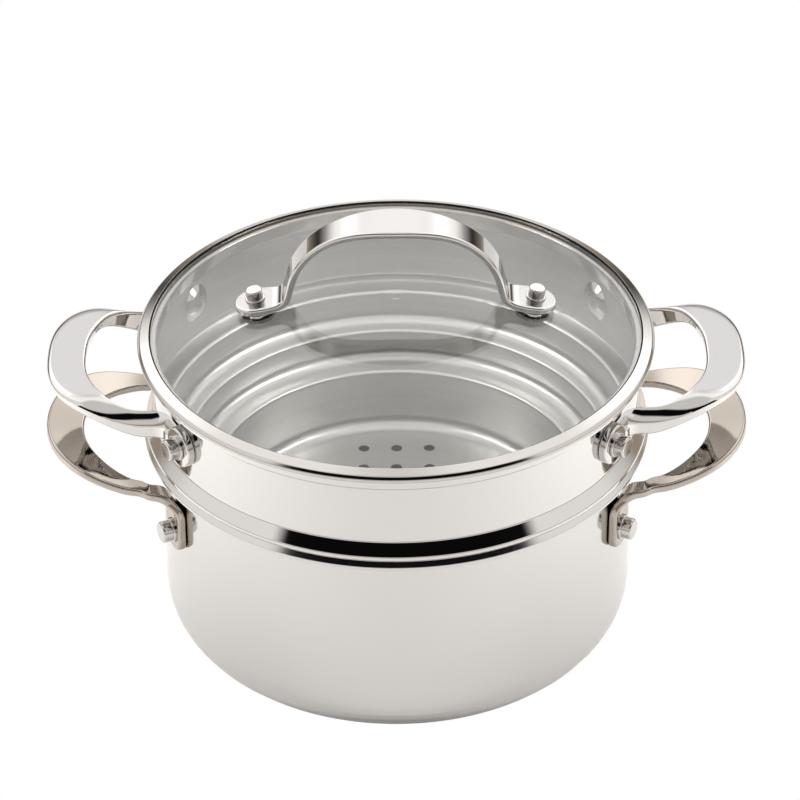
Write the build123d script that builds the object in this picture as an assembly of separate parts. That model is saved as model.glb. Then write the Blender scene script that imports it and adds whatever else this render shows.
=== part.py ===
from build123d import *
import os
from math import asin, ceil, cos, degrees, radians, sin, sqrt, tan

# Steamer pot: a clad steel saucepot, a stepped insert that hangs in its mouth, and a domed glass lid.
# The origin is the centre of the flat base, +Z is up and the side handles lie along X.
# Lengths are millimetres and angles are degrees.

# Pot shell
pot_radius = 98.0
pot_wall = 2.3
pot_base = 2.6
pot_height = 97.5
pot_corner = 23.0
lip_reach = 6.7
lip_depth = 3.5
lip_edge = 1.2
lip_bend = 3.4
mouth_bend = 5.0

# Clearances
fit_gap = 0.05
insert_play = 0.8
skirt_gap = 1.1
glass_gap = 0.3
overrun = 30.0

# How finely the bent straps are worked out
grip_turns = (0, 10, 20, 30, 40, 50, 60, 70, 80, 85)
foot_turns = (90, 60, 30, 0)
bend_steps = 4
station_step = 3.0

# Insert shell, one drawn sheet; heights are counted from its seat on the pot's lip
insert_sheet = 0.8
wall_draft = 0.5
floor_drop = 56.8
lower_ledge_drop = 28.5
upper_ledge_drop = 14.6
lower_ledge_width = 11.2
upper_ledge_width = 8.0
floor_bend = 6.8
ledge_bend = 5.8
crisp_bend = 0.8
shoulder_inset = 0.8
shoulder_bend = 1.3
shoulder_rise = 2.1
shoulder_reach = 4.1
crease_rise = 7.1
crease_bend = 1.5
band_rise = 32.1
band_bend = 0.5
rim_step = 0.7
rim_step_bend = 1.2
rim_rise = 38.0
rim_bend = 0.4
rim_curl = 1.9
rim_curl_depth = 2.6

# Steam holes in the insert's floor
hole_diameter = 4.8
hole_pitch = 14.2
hole_field_radius = 60.0

# Lid: domed glass in a rolled steel rim
lid_overhang = 2.8
lid_sheet = 0.6
lid_rim_bend = 0.9
lid_flange_bend = 0.9
lid_skirt_bend = 1.2
lid_skirt_depth = 5.1
lid_grip = 5.0
glass_sphere = 352.0
glass_thickness = 3.4
glass_edge = 2.0
glass_edge_round = 0.8

# Lid handle: a bent strap on two round feet
strap_thickness = 3.2
strap_rise = 36.8
strap_top_x = 28.4
strap_foot_x = 45.0
strap_top_bend = 26.0
strap_foot_bend = 6.0
strap_round = 1.1
strap_leg_width = 16.4
strap_top_width = 21.2
strap_taper_x = 30.0
foot_diameter = 18.0
foot_round = 0.9
foot_inset = 0.25
foot_overlap = 4.0

# Lid fasteners
lid_rivet_x = 56.3
lid_rivet_diameter = 6.9
lid_rivet_head = 4.8
lid_collar_diameter = 8.2
lid_collar_height = 0.9
lid_rivet_round = 0.7
washer_diameter = 13.0
washer_thickness = 1.5
sleeve_diameter = 9.4
backing_diameter = 14.0
backing_thickness = 1.6
lid_clench_diameter = 10.0
lid_clench_height = 1.8

# Insert handles: legs that stand on edge at the wall and turn into a flat grip
grip_reach = 43.4
grip_width = 16.0
grip_thickness = 4.6
grip_drop = 6.3
grip_half_width = 41.0
grip_squareness = 2.55
grip_widens_from = 5.0
grip_widens_to = 36.0
grip_rises_from = 4.0
grip_rises_to = 26.0
grip_lifts_from = 1.5
grip_lifts_to = 31.0
grip_round = 1.4
leg_drop = 10.7
leg_depth = 11.1
leg_thickness = 4.2
leg_bend = 8.0
pad_radius = 8.5
pad_thickness = 3.5
pad_inset = 0.2
pad_round = 0.8
pad_angle = 31.5
pad_drop = 17.3

# Pot handles: one flat strap each, bent down against the wall
pot_strap = 3.5
pot_strap_round = 1.1
pot_grip_reach = 47.3
pot_grip_width = 15.3
pot_grip_half_width = 43.5
pot_grip_squareness = 2.1
pot_leg_width = 8.0
pot_leg_start = 3.0
pot_widens_from = 4.0
pot_widens_to = 33.0
pot_strap_drop = 7.5
pot_rises_from = 10.0
pot_rises_to = 49.0
pot_grip_rise = 8.3
flange_bend = 10.2
flange_foot_drop = 35.5
flange_corner = 4.5
flange_angle = 24.5
flange_width = 14.4

# Side rivets, alike on the pot and the insert
rivet_diameter = 9.0
rivet_head = 5.2
rivet_round = 0.9
collar_diameter = 10.6
collar_height = 1.1
dome_diameter = 16.5
dome_height = 3.0
pot_rivet_drop = 27.5

# Places worked out from the sizes
seat_z = pot_height
rim_top = seat_z + rim_rise + insert_sheet
shoulder_radius = pot_radius + lip_reach - shoulder_inset
band_radius = shoulder_radius - shoulder_reach
rim_radius = band_radius + rim_step
upper_tier_radius = pot_radius - pot_wall - insert_play
middle_tier_radius = upper_tier_radius - upper_ledge_width
lower_tier_radius = middle_tier_radius - lower_ledge_width
lid_radius = rim_radius + rim_curl + insert_sheet + lid_overhang
glass_radius = lid_radius - lid_sheet - glass_gap
glass_seat = rim_top + lid_sheet
glass_fall = glass_sphere - sqrt(glass_sphere**2 - glass_radius**2)
glass_apex = glass_seat + glass_edge + glass_fall


def outline(corners):
    """A flat face from corners (x, y, corner radius), in order round the shape."""
    points = [Vector(x, y) for x, y, _ in corners]
    starts, ends, edges = [], [], []
    for i, (_, _, radius) in enumerate(corners):
        corner = points[i]
        back = (points[i - 1] - corner).normalized()
        ahead = (points[(i + 1) % len(points)] - corner).normalized()
        half = radians(back.get_angle(ahead)) / 2
        start = corner + back * (radius / tan(half))
        end = corner + ahead * (radius / tan(half))
        if radius:
            middle = corner + (back + ahead).normalized() * (radius / sin(half) - radius)
            edges.append(ThreePointArc(start, middle, end))
        starts.append(start)
        ends.append(end)
    for i, end in enumerate(ends):
        edges.append(Line(end, starts[(i + 1) % len(starts)]))
    return make_face(edges)


def sheet(path, thickness):
    """The section of a sheet of even thickness that lies to the left of a path of (x, y, bend radius)."""
    points = [Vector(x, y) for x, y, _ in path]
    runs = [(b - a).normalized() for a, b in zip(points, points[1:])]
    normals = [Vector(-run.Y, run.X) for run in runs]
    far = []
    for i, point in enumerate(points):
        before = normals[max(i - 1, 0)]
        after = normals[min(i, len(normals) - 1)]
        moved = point + (before + after) * (thickness / (1 + before.dot(after)))
        radius = path[i][2]
        if radius:
            turns_left = before.cross(after).Z > 0
            radius = max(radius - thickness, 0) if turns_left else radius + thickness
        far.append((moved.X, moved.Y, radius))
    return outline(list(path) + far[::-1])


def turned(section):
    """A section drawn as (radius, height), turned about the vertical axis."""
    return revolve(Plane.XZ * section, Axis.Z)


def tube(inner, outer, low, high):
    """A plain ring about the vertical axis."""
    return turned(outline([(inner, low, 0), (outer, low, 0), (outer, high, 0), (inner, high, 0)]))


def disc(radius, low, high):
    """A plain cylinder about the vertical axis."""
    return Pos(0, 0, low) * Cylinder(radius, high - low, align=(Align.CENTER, Align.CENTER, Align.MIN))


def spoke(shape, angle, height):
    """A shape that stands on the vertical axis, laid outwards at an angle round the pot and at a height."""
    return Pos(0, 0, height) * Rot(0, 0, angle) * Rot(0, 90, 0) * shape


def polar(radius, angle):
    """The plan point at a radius and an angle round the pot."""
    return radius * cos(radians(angle)), radius * sin(radians(angle))


def both_legs(shape):
    """A leg's shape and its mirror image on the other end of the same handle."""
    return shape + mirror(shape, Plane.XZ)


def eased(value, low, high):
    """A share that is 0 up to low and 1 from high on, with a smooth rise between."""
    share = min(max((value - low) / (high - low), 0), 1)
    return share * share * (3 - 2 * share)


def blended(value, low, high, start, end):
    """A size that goes smoothly from start to end while a value goes from low to high."""
    return start + (end - start) * eased(value, low, high)


def bar(stations, edge_round):
    """A bar of rounded rectangles through stations of (place, direction, side, width, thickness)."""
    sections = []
    for place, direction, side, width, thickness in stations:
        square = direction - side * direction.dot(side)
        plane = Plane(origin=place, x_dir=side, z_dir=square)
        sections.append(plane * RectangleRounded(width, thickness, edge_round))
    return loft(sections)


def front_half(rear_half):
    """The mirror image of a rear half's stations, with the path still running the same way round."""
    stations = []
    for place, direction, side, width, thickness in reversed(rear_half):
        place = Vector(place.X, -place.Y, place.Z)
        direction = Vector(-direction.X, direction.Y, -direction.Z)
        side = Vector(side.X, -side.Y, side.Z)
        stations.append((place, direction, side, width, thickness))
    return stations


def oval(start, reach, half_width, squareness, angle):
    """The plan point and outward direction at an angle round a squarish oval centred at X = start."""
    along = cos(radians(angle))
    aside = sin(radians(angle))
    point = Vector(start + reach * along**(2 / squareness), half_width * aside**(2 / squareness))
    outward = Vector(along**(2 - 2 / squareness) / reach, aside**(2 - 2 / squareness) / half_width)
    return point, outward.normalized()


def glass_top(radius):
    """The height of the glass dome's upper side at a radius."""
    return glass_apex - glass_sphere + sqrt(glass_sphere**2 - radius**2)


def pot_body():
    inner = pot_radius - pot_wall
    lip_radius = pot_radius + lip_reach
    lip_underside = pot_height - lip_depth
    shell = turned(outline([
        (0, 0, 0),
        (pot_radius, 0, pot_corner),
        (pot_radius, lip_underside, lip_bend),
        (lip_radius, lip_underside, lip_edge),
        (lip_radius, pot_height, lip_edge),
        (inner, pot_height, mouth_bend),
        (inner, pot_base, pot_corner - pot_wall),
        (0, pot_base, 0),
    ]))
    bore = disc(rivet_diameter / 2 + fit_gap, inner - overrun, pot_radius + overrun)
    for angle in side_angles(flange_angle):
        shell -= spoke(bore, angle, pot_height - pot_rivet_drop)
    return shell


def side_angles(angle):
    """Where the four rivets sit round the pot: right rear, right front, left rear and left front."""
    return angle, -angle, 180 - angle, 180 + angle


def insert_body():
    floor_z = seat_z - floor_drop
    lower_ledge_z = seat_z - lower_ledge_drop
    upper_ledge_z = seat_z - upper_ledge_drop
    curl_radius = rim_radius + rim_curl
    step_z = seat_z + band_rise
    shell = turned(sheet([
        (0, floor_z, 0),
        (lower_tier_radius - wall_draft, floor_z, floor_bend),
        (lower_tier_radius, lower_ledge_z, crisp_bend),
        (middle_tier_radius - wall_draft, lower_ledge_z, ledge_bend),
        (middle_tier_radius, upper_ledge_z, crisp_bend),
        (upper_tier_radius - wall_draft, upper_ledge_z, ledge_bend),
        (upper_tier_radius, seat_z, crisp_bend),
        (shoulder_radius, seat_z, shoulder_bend),
        (shoulder_radius, seat_z + shoulder_rise, shoulder_bend),
        (band_radius, seat_z + crease_rise, crease_bend),
        (band_radius, step_z, band_bend),
        (rim_radius, step_z + rim_step, rim_step_bend),
        (rim_radius, seat_z + rim_rise, rim_bend),
        (curl_radius, seat_z + rim_rise, rim_bend),
        (curl_radius, seat_z + rim_rise - rim_curl_depth, 0),
    ], insert_sheet))
    count = int(hole_field_radius / hole_pitch)
    steps = range(-count, count + 1)
    places = [(i * hole_pitch, j * hole_pitch) for i in steps for j in steps]
    inside = [place for place in places if Vector(place).length <= hole_field_radius]
    hole = disc(hole_diameter / 2, floor_z - insert_sheet, floor_z + insert_sheet * 2)
    shell -= [Pos(x, y) * hole for x, y in inside]
    bore = disc(rivet_diameter / 2 + fit_gap, band_radius - overrun, band_radius + overrun)
    for angle in side_angles(pad_angle):
        shell -= spoke(bore, angle, rim_top - pad_drop)
    return shell


def insert_handle():
    middle_reach = grip_reach - grip_width / 2
    leg_y = grip_half_width - leg_thickness / 2
    leg_top = rim_top - leg_drop
    leg_bottom = leg_top - leg_depth
    grip_top = rim_top - grip_drop
    grip_bottom = grip_top - grip_thickness
    stations = []
    for angle in grip_turns:
        point, outward = oval(band_radius, middle_reach, leg_y, grip_squareness, angle)
        away = point.X - band_radius
        top = blended(away, grip_rises_from, grip_rises_to, leg_top, grip_top)
        bottom = blended(away, grip_lifts_from, grip_lifts_to, leg_bottom, grip_bottom)
        width = blended(away, grip_widens_from, grip_widens_to, leg_thickness, grip_width)
        place = Vector(point.X, point.Y, (top + bottom) / 2)
        stations.append((place, Vector(-outward.Y, outward.X), outward, width, top - bottom))
    stations += wall_bend(leg_y, (leg_top + leg_bottom) / 2)
    grip = bar(front_half(stations) + stations[1:], grip_round)
    pad = disc(pad_radius, band_radius - overrun, band_radius + overrun)
    hug = tube(band_radius + fit_gap, band_radius + fit_gap + pad_thickness, rim_top - overrun, rim_top)
    pad = hug & spoke(pad, pad_angle, rim_top - pad_drop)
    pad = fillet(pad.edges().filter_by(lambda edge: edge.length > pad_radius * 2), pad_round)
    bore = disc(rivet_diameter / 2 + fit_gap, band_radius - overrun, band_radius + overrun)
    bore = spoke(bore, pad_angle, rim_top - pad_drop)
    return grip + both_legs(pad) - both_legs(bore)


def wall_bend(leg_y, height):
    """The insert handle's stations where a leg bends sideways and lies along the wall, up to its pad."""
    hug_radius = band_radius + fit_gap + pad_thickness / 2
    centre = Vector(sqrt((hug_radius + leg_bend)**2 - (leg_y + leg_bend)**2), leg_y + leg_bend, height)
    wall_angle = degrees(asin(centre.Y / (hug_radius + leg_bend)))
    pad_end_thickness = pad_thickness - pad_inset * 2
    stations = []
    for step in range(bend_steps + 1):
        share = step / bend_steps
        heading = radians(180 - (90 - wall_angle) * share)
        direction = Vector(cos(heading), sin(heading))
        side = Vector(direction.Y, -direction.X)
        thickness = leg_thickness + (pad_end_thickness - leg_thickness) * share
        stations.append((centre - side * leg_bend, direction, side, thickness, leg_depth))
    for step in range(1, bend_steps + 1):
        side = Vector(*polar(1, wall_angle + (pad_angle - wall_angle) * step / bend_steps))
        place = side * hug_radius + Vector(0, 0, height)
        stations.append((place, Vector(-side.Y, side.X), side, pad_end_thickness, leg_depth))
    return stations


def pot_strap_middle(point):
    """The height of the strap's middle over a plan point, from its distance to the pot's axis."""
    rise = blended(point.length - pot_radius, pot_rises_from, pot_rises_to, 0, pot_grip_rise)
    return Vector(point.X, point.Y, pot_height - pot_strap_drop - pot_strap / 2 + rise)


def pot_handle():
    start = pot_radius + pot_leg_start
    middle_reach = pot_grip_reach - pot_leg_start - pot_grip_width / 2
    leg_y = pot_grip_half_width - pot_leg_width / 2
    stations = []
    for angle in grip_turns:
        point, outward = oval(start, middle_reach, leg_y, pot_grip_squareness, angle)
        away = point.X - pot_radius
        width = blended(away, pot_widens_from, pot_widens_to, pot_leg_width, pot_grip_width)
        outer = pot_strap_middle(point + outward * (width / 2))
        inner = pot_strap_middle(point - outward * (width / 2))
        side = (outer - inner).normalized()
        direction = Vector(-outward.Y, outward.X)
        stations.append(((outer + inner) / 2, direction, side, (outer - inner).length, pot_strap))
    stations += flange_stations()
    handle = bar(front_half(stations) + stations[1:], pot_strap_round)
    bore = disc(rivet_diameter / 2 + fit_gap, pot_radius - overrun, pot_radius + overrun)
    return handle - both_legs(spoke(bore, flange_angle, pot_height - pot_rivet_drop))


def flange_stations():
    """The pot handle's stations where a leg bends down against the wall, to its rounded foot."""
    outward = Vector(*polar(1, flange_angle))
    tangent = Vector(-outward.Y, outward.X)
    seat = outward * (pot_radius + fit_gap + pot_strap / 2)
    strap_z = pot_height - pot_strap_drop - pot_strap / 2
    stations = []
    for step in range(bend_steps + 1):
        share = step / bend_steps
        turn = radians(90 * share)
        place = seat + Vector(flange_bend * (1 - sin(turn)), 0, strap_z - flange_bend * (1 - cos(turn)))
        direction = Vector(-cos(turn), 0, -sin(turn))
        side = (Vector(0, 1) * (1 - sin(turn)) + tangent * sin(turn)).normalized()
        width = pot_leg_width + (flange_width - pot_leg_width) * eased(share, 0, 1)
        stations.append((place, direction, side, width, pot_strap))
    foot_z = pot_height - flange_foot_drop
    run = strap_z - flange_bend - foot_z - flange_corner
    for step in range(1, bend_steps):
        height = strap_z - flange_bend - run * step / bend_steps
        stations.append((seat + Vector(0, 0, height), Vector(0, 0, -1), tangent, flange_width, pot_strap))
    for turn in foot_turns:
        height = foot_z + flange_corner * (1 - cos(radians(turn)))
        width = flange_width - flange_corner * 2 * (1 - sin(radians(turn)))
        stations.append((seat + Vector(0, 0, height), Vector(0, 0, -1), tangent, width, pot_strap))
    return stations


def side_rivet(inner, outer, angle, height):
    """A rivet through a wall: a domed head inside, a shank, and a flat button with a collar outside."""
    curve = (dome_diameter**2 / 4 + dome_height**2) / (2 * dome_height)
    dome = Pos(0, 0, inner - dome_height + curve) * Sphere(curve)
    dome &= disc(dome_diameter / 2, inner - overrun, inner + dome_height)
    button = disc(rivet_diameter / 2, inner - dome_height / 2, outer + rivet_head)
    button = fillet(button.edges().sort_by(Axis.Z)[-1], rivet_round)
    collar = disc(collar_diameter / 2, outer, outer + collar_height)
    collar = fillet(collar.edges().sort_by(Axis.Z)[-1], collar_height / 2)
    seam_away = Rot(0, 0, 180)
    dome = spoke(dome, 0, 0) & (seam_away * disc(inner, -overrun, overrun))
    return Pos(0, 0, height) * Rot(0, 0, angle) * (spoke(button + collar, 0, 0) + dome)


def lid_glass_blank():
    """The glass before it is drilled, ground flat where it sits and rounded at its edge."""
    centre = (0, glass_apex - glass_sphere)
    section = Pos(*centre) * Circle(glass_sphere)
    section -= Pos(*centre) * Circle(glass_sphere - glass_thickness)
    corner = (Align.MIN, Align.MIN)
    section &= Pos(0, glass_seat) * Rectangle(glass_radius, glass_sphere, align=corner)
    edge = section.vertices().group_by(Axis.X)[-1]
    return turned(fillet(edge, glass_edge_round).face())


def on_glass(side):
    """A lid fastener's own frame: its origin on the upper side of the glass, its Z axis square to it."""
    tilt = degrees(asin(lid_rivet_x / glass_sphere))
    return Pos(side * lid_rivet_x, 0, glass_top(lid_rivet_x)) * Rot(0, side * tilt, 0)


def ball(depth):
    """In a fastener's own frame, all that lies deeper than a depth under the glass's upper side."""
    return Pos(0, -glass_sphere) * Circle(glass_sphere - depth)


def ring(inner, outer, low, high):
    return outline([(inner, low, 0), (outer, low, 0), (outer, high, 0), (inner, high, 0)])


def lid_glass():
    drill = disc(sleeve_diameter / 2 + fit_gap, -overrun, overrun)
    return lid_glass_blank() - [on_glass(side) * drill for side in (1, -1)]


def lid_rim():
    inner = glass_radius - lid_grip
    outer = lid_radius - lid_sheet
    skirt = band_radius - insert_sheet - skirt_gap - lid_sheet
    return turned(sheet([
        (inner, glass_top(inner) + fit_gap, 0),
        (outer, glass_top(outer) + fit_gap, lid_rim_bend),
        (outer, glass_seat, lid_flange_bend),
        (skirt, glass_seat, lid_skirt_bend),
        (skirt, rim_top - lid_skirt_depth, 0),
    ], lid_sheet))


def lid_handle():
    middle = washer_thickness + strap_thickness / 2
    top = glass_top(lid_rivet_x) + middle + strap_rise
    tilt = asin(lid_rivet_x / glass_sphere)
    seat = Vector(lid_rivet_x + middle * sin(tilt), glass_top(lid_rivet_x) + middle * cos(tilt))
    end = seat - Vector(cos(tilt), -sin(tilt)) * (foot_diameter / 2 - foot_overlap)
    corner = Vector(strap_foot_x, seat.Y + (seat.X - strap_foot_x) * tan(tilt))
    knee = Vector(strap_top_x, top)
    right = [Vector(0, top), knee, corner, end]
    left = [Vector(-point.X, point.Y) for point in reversed(right[1:])]
    bends = [strap_foot_bend, strap_top_bend, strap_top_bend, strap_foot_bend]
    path = FilletPolyline(left + right[1:], radius=bends)
    stations = []
    for edge in path.edges():
        steps = ceil(edge.length / station_step)
        stations += [strap_station(edge @ (step / steps), edge % (step / steps)) for step in range(steps)]
    stations.append(strap_station(path @ 1, path % 1))
    strap = bar(stations, strap_round)
    foot = disc(foot_diameter / 2, washer_thickness, washer_thickness + strap_thickness)
    foot = fillet(foot.edges().filter_by(GeomType.CIRCLE), foot_round)
    bore = disc(lid_rivet_diameter / 2 + fit_gap, -overrun / 2, overrun / 2)
    handle = strap + [on_glass(side) * foot for side in (1, -1)]
    return handle - [on_glass(side) * bore for side in (1, -1)]


def strap_station(point, direction):
    """The lid handle's section at a point of its path, which is drawn as (x, height)."""
    aside = abs(point.X)
    width = blended(aside, 0, strap_taper_x, strap_top_width, strap_leg_width)
    thin = eased(aside, strap_foot_x, lid_rivet_x - foot_diameter / 2)
    thickness = strap_thickness - foot_inset * 2 * thin
    place = Vector(point.X, 0, point.Y)
    return place, Vector(direction.X, 0, direction.Y), Vector(0, 1, 0), width, thickness


def lid_washer():
    """The dark washer between the glass and a foot, with its sleeve through the glass."""
    bore = lid_rivet_diameter / 2 + fit_gap
    washer = ring(bore, washer_diameter / 2, -glass_thickness, washer_thickness) - ball(-fit_gap)
    sleeve = ring(bore, sleeve_diameter / 2, -glass_thickness, washer_thickness)
    return turned(washer + sleeve)


def lid_backing():
    """The steel washer that presses on the underside of the glass."""
    low = -glass_thickness - fit_gap - backing_thickness
    bore = lid_rivet_diameter / 2 + fit_gap
    return turned(ring(bore, backing_diameter / 2, low, 0) & ball(glass_thickness + fit_gap))


def lid_rivet():
    """A rivet from a clenched head under the backing washer to a button on top of the foot."""
    seat = washer_thickness + strap_thickness
    under = -glass_thickness - fit_gap - backing_thickness
    low = under - lid_clench_height
    shank = disc(lid_rivet_diameter / 2, low, seat + lid_rivet_head)
    shank = fillet(shank.edges().sort_by(Axis.Z)[-1], lid_rivet_round)
    collar = disc(lid_collar_diameter / 2, seat, seat + lid_collar_height)
    collar = fillet(collar.edges().sort_by(Axis.Z)[-1], lid_collar_height / 2)
    clench = disc(lid_clench_diameter / 2, low, under)
    clench = fillet(clench.edges().sort_by(Axis.Z)[0], lid_clench_height / 2)
    return shank + collar + clench


def build():
    """Every piece by its name."""
    half_turn = Rot(0, 0, 180)
    right_pot_handle = pot_handle()
    right_insert_handle = insert_handle()
    pieces = {
        "pot_body": pot_body(),
        "pot_handle_right": right_pot_handle,
        "pot_handle_left": half_turn * right_pot_handle,
        "insert_body": insert_body(),
        "insert_handle_right": right_insert_handle,
        "insert_handle_left": half_turn * right_insert_handle,
        "lid_glass": lid_glass(),
        "lid_rim": lid_rim(),
        "lid_handle": lid_handle(),
    }
    corners = ("right_rear", "right_front", "left_rear", "left_front")
    flange_outer = pot_radius + fit_gap + pot_strap
    pad_outer = band_radius + fit_gap + pad_thickness
    for corner, pot_angle, insert_angle in zip(corners, side_angles(flange_angle), side_angles(pad_angle)):
        pieces[f"pot_rivet_{corner}"] = side_rivet(
            pot_radius - pot_wall, flange_outer, pot_angle, pot_height - pot_rivet_drop)
        pieces[f"insert_rivet_{corner}"] = side_rivet(
            band_radius - insert_sheet, pad_outer, insert_angle, rim_top - pad_drop)
    for side_name, side in (("right", 1), ("left", -1)):
        pieces[f"lid_washer_{side_name}"] = on_glass(side) * lid_washer()
        pieces[f"lid_backing_{side_name}"] = on_glass(side) * lid_backing()
        pieces[f"lid_rivet_{side_name}"] = on_glass(side) * lid_rivet()
    return pieces


os.makedirs("parts", exist_ok=True)
for name, piece in build().items():
    export_step(piece, f"parts/{name}.step")
    print(name, "volume", round(piece.volume), "solids", len(piece.solids()))
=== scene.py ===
import math

import bmesh
import bpy
from mathutils import Matrix, Vector


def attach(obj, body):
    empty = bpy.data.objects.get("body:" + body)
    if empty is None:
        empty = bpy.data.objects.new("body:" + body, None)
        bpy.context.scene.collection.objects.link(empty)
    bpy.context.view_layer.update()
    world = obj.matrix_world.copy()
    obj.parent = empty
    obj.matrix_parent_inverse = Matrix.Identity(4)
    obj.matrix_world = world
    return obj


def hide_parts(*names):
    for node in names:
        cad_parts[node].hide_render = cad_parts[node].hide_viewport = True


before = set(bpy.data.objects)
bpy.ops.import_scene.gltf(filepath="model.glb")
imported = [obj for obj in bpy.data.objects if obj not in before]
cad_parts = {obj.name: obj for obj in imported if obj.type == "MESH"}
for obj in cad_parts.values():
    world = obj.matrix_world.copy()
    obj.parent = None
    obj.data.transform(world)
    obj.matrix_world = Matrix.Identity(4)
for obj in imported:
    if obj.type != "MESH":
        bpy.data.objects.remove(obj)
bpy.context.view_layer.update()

# Camera, worked out from the photograph's perspective
CAMERA_LENS = 170.08
CAMERA_SENSOR = 36.0
CAMERA_PLACE = (0.0, -1.3032, 0.9755)
CAMERA_PITCH = math.radians(34.194)
CAMERA_ROLL = math.radians(-0.401)
CAMERA_SHIFT = (0.00434, 0.0375)
CAMERA_REACH = 50.0

# Studio, in metres and watts: the floor, and a lamp over it at each side, whose light the pot's flanks mirror
FLOOR_SIZE = 12.0
FLOOR_CLEARANCE = 0.0002
FLOOR_SHINE = 0.1
FLOOR_COLOR = (0.88, 0.87, 0.86, 1.0)
WHITE = (1.0, 1.0, 1.0, 1.0)
LAMP_PLACE = (0.44, -0.02, 0.3)
LAMP_TARGET = (0.36, -0.02, 0.0)
LAMP_SIZE = (0.2, 0.4)
LAMP_POWER = 1.2

# Room: soft-edged stretches of it as (azimuth from the front, height, half width, half height), in degrees
SKY = (0.79, 0.775, 0.76, 1.0)
DARK = (0.004, 0.004, 0.004, 1.0)
DIM = (0.05, 0.045, 0.04, 1.0)
TAN = (0.40, 0.33, 0.27, 1.0)
SOFT_EDGE = 4.0
FRONT_GAP = (4.0, 44.0, 60.0, 15.0)
BACK_CORNERS = (150.0, 9.0, 16.0, 6.0)
BACK_CORNERS_EDGE = 6.0
BACK_LIGHT = (180.0, 47.0, 60.0, 29.0)
BACK_GAIN = 0.65
SOFT_BOX = (180.0, 39.0, 40.0, 14.0)
SOFT_BOX_GAIN = 1.05
SIDE_LIGHT = (90.0, 45.0, 40.0, 30.0)
SIDE_GAIN = 0.3
HORIZON = 3.0
HORIZON_HALF = 5.0

# Colours of the steels; the satin tops stand in the brightest light and are painted darker, a painted shade on
# the handles' tops
STEEL = (0.68, 0.665, 0.645, 1.0)
WARM_STEEL = (0.60, 0.58, 0.56, 1.0)
RIM_STEEL = (0.60, 0.58, 0.555, 1.0)
SATIN_STEEL = (0.70, 0.695, 0.675, 1.0)
GRIP_SHADED_TOP_STEEL = (0.37, 0.365, 0.371, 1.0)
LID_HANDLE_SHADED_TOP_STEEL = (0.45, 0.44, 0.44, 1.0)
# The pot handles' darker, browner colour is a painted brownish reflection
POT_HANDLE_REFLECTED_BROWN = (0.46, 0.415, 0.37, 1.0)
POT_GRIP_SHADED_TOP_STEEL = (0.22, 0.195, 0.17, 1.0)

# Finishes: roughness, and the scale and strength of the fine noises that vary it
MIRROR_ROUGHNESS = 0.04
SHEET_ROUGHNESS = 0.12
RIM_ROUGHNESS = 0.1
POT_SATIN = 0.3
INSERT_SATIN = 0.34
GRIP_SATIN = 0.26
LID_HANDLE_SATIN = 0.2
POT_GRIP_SATIN = 0.03
PLAIN_DETAIL = 2.0
NOISE_RANGE = (0.3, 0.7)
BUMP_DISTANCE = 0.0002
HAZE_SCALE = 28.0
HAZE_DEPTH = 0.02
SCRATCH_SCALE = 900.0
SCRATCH_BUMP = 0.015
RING_TWIST = 0.0012
RING_FINE_SCALE = 3200.0
RING_BROAD_SCALE = 500.0
RING_GRAIN = 0.6
RING_ROUGHNESS = (-0.03, 0.04)
RING_SHADE_RANGE = (0.7, 1.3)
RING_DULL_SHARE = 0.93
RING_BUMP = 0.006
RING_STRETCH = 0.6
LEVEL_RANGE = (0.95, 0.99)
GRAIN_PULL = (6.0, 90.0)
GRAIN_SCALE = 25.0
GRAIN_DEPTH = 0.02
HANDLE_POLISH = 0.02
HANDLE_BUMP_SCALE = 700.0
HANDLE_BUMP = 0.01
GLASS_COLOR = (0.99, 0.99, 0.98, 1.0)
GLASS_IOR = 1.5
SMEAR_SCALE = 35.0
SMEAR_ROUGHNESS = 0.012
RUBBER_TONES = (0.02, 0.045)
RUBBER_SHINE = 0.5
RUBBER_ROUGHNESS = 0.5
RUBBER_GRAIN_SCALE = 1500.0
RUBBER_BUMP = 0.1
RUBBER_BUMP_DISTANCE = 0.0003
# Near-black tones of the band on the lid rim's inner bevel: painted shade along the rim's inner edge
RIM_PAINTED_SHADE_TONES = (0.003, 0.008)
RIM_PAINTED_SHADE_SHINE = 0.1

# Sizes of the turned pieces, in millimetres
MM = 0.001
SEGMENTS = 216
SMALL_SEGMENTS = SEGMENTS // 3
ARC_STEP = math.radians(10.0)
SHARP_ANGLE = math.radians(32.0)
EDGE_SUPPORT = 0.15
SUPPORTED_RUN = EDGE_SUPPORT * 6
ON_AXIS = 1e-6
WELD_GAP = 1e-6
UPRIGHT = 0.5
POT_RADIUS = 98.0
POT_WALL = 2.3
POT_BASE = 2.6
POT_HEIGHT = 97.5
POT_CORNER = 23.0
LIP_REACH = 6.7
LIP_DEPTH = 3.5
LIP_EDGE = 0.7
LIP_SLOPE = (1.9, 2.2)
LIP_BEND = 3.4
MOUTH_BEND = 5.0
INSERT_SHEET = 0.8
INSERT_PLAY = 0.8
WALL_DRAFT = 0.5
FLOOR_DROP = 56.8
LOWER_LEDGE_DROP = 28.5
UPPER_LEDGE_DROP = 14.6
LOWER_LEDGE_WIDTH = 11.2
UPPER_LEDGE_WIDTH = 8.0
FLOOR_BEND = 6.8
LEDGE_BEND = 5.8
CRISP_BEND = 0.8
SHOULDER_INSET = 0.8
SHOULDER_RADIUS = POT_RADIUS + LIP_REACH - SHOULDER_INSET
SHOULDER_BEND = 1.3
SHOULDER_RISE = 2.1
CREASE_RISE = 7.1
CREASE_BEND = 1.5
BAND_INSET = 4.1
BAND_RADIUS = SHOULDER_RADIUS - BAND_INSET
BAND_RISE = 32.1
BAND_BEND = 0.5
RIM_STEP = 0.7
RIM_STEP_BEND = 1.2
RIM_RISE = 38.0
RIM_BEND = 0.4
RIM_CURL = 1.9
RIM_CURL_DEPTH = 2.6
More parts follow.
